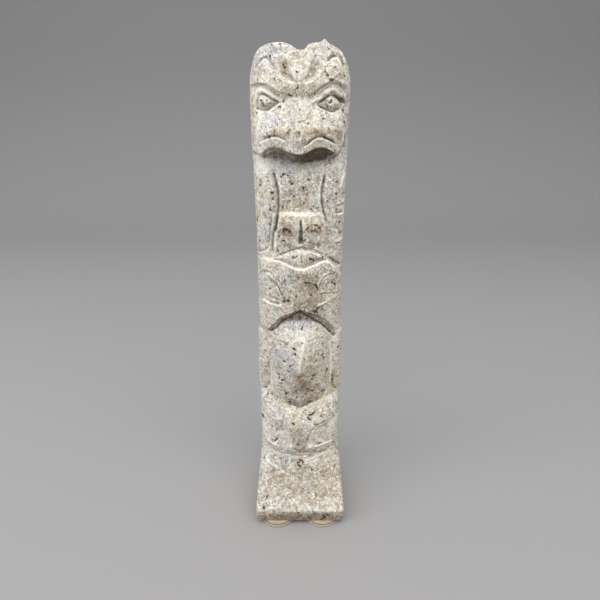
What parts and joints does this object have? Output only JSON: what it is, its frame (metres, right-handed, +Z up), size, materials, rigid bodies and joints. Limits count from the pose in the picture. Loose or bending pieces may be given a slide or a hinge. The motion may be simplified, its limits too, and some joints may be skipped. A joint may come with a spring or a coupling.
{
  "type": "totem pole",
  "caption": "Carved speckled stone totem pole with a notched bird head, folded wings, lower masks and a flared foot on felt pads.",
  "frame": {"origin": "on the ground under the middle of the overall box", "axes": "+Z up along the pole, -Y out of the carved front, +X to the right as the carved front is faced"},
  "size_m": [0.0566, 0.06, 0.28],
  "materials": {
    "stone": "satin",
    "felt": "matte"
  },
  "bodies": {
    "root": {"totem": "stone", "pad_front_left": "felt", "pad_front_right": "felt", "pad_back_left": "felt", "pad_back_right": "felt"}
  },
  "joints": []
}
